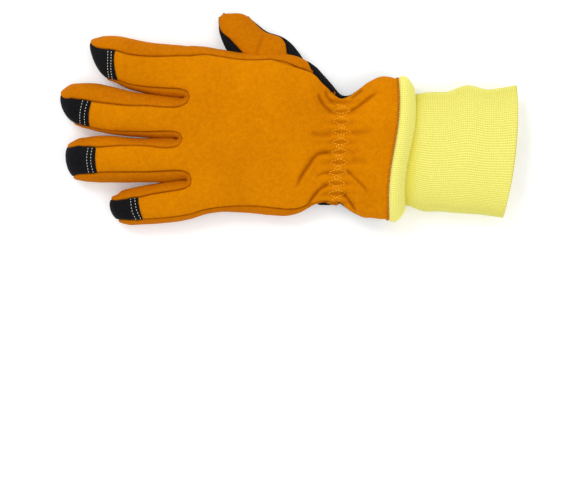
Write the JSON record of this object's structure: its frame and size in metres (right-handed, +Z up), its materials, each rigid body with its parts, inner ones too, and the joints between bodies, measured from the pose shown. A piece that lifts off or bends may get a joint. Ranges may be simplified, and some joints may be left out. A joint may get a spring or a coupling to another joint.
{
  "type": "firefighter glove",
  "caption": "Left structural firefighting glove, palm down: tan suede back with gathered wrist, black palm, fingertip caps, thumb, pull tab and yellow rib-knit wristlet.",
  "frame": {"origin": "on the surface the glove rests on, under the middle of the palm", "axes": "-X to the fingertips, +X to the open end of the cuff, +Y to the thumb side, +Z up out of the back of the hand"},
  "size_m": [0.3297, 0.1523, 0.0367],
  "materials": {
    "suede_tan": "golden tan suede, short brushed nap, darker in the folds",
    "suede_black": "black suede, faintly blue, grey where it is rubbed",
    "knit_yellow": "lemon-yellow rib knit, matte, deeper yellow between the ribs"
  },
  "bodies": {
    "root": {"back_panel": "suede_tan", "palm_panel": "suede_black", "sidewall_index": "suede_tan", "fourchette_index_middle": "suede_tan", "fourchette_middle_ring": "suede_tan", "fourchette_ring_little": "suede_tan", "sidewall_pinky": "suede_tan", "palm_patch": "suede_black", "thumb_back": "suede_tan", "thumb_front": "suede_black", "pull_tab": "suede_black", "cuff_roll": "knit_yellow", "cuff_knit": "knit_yellow"}
  },
  "joints": []
}
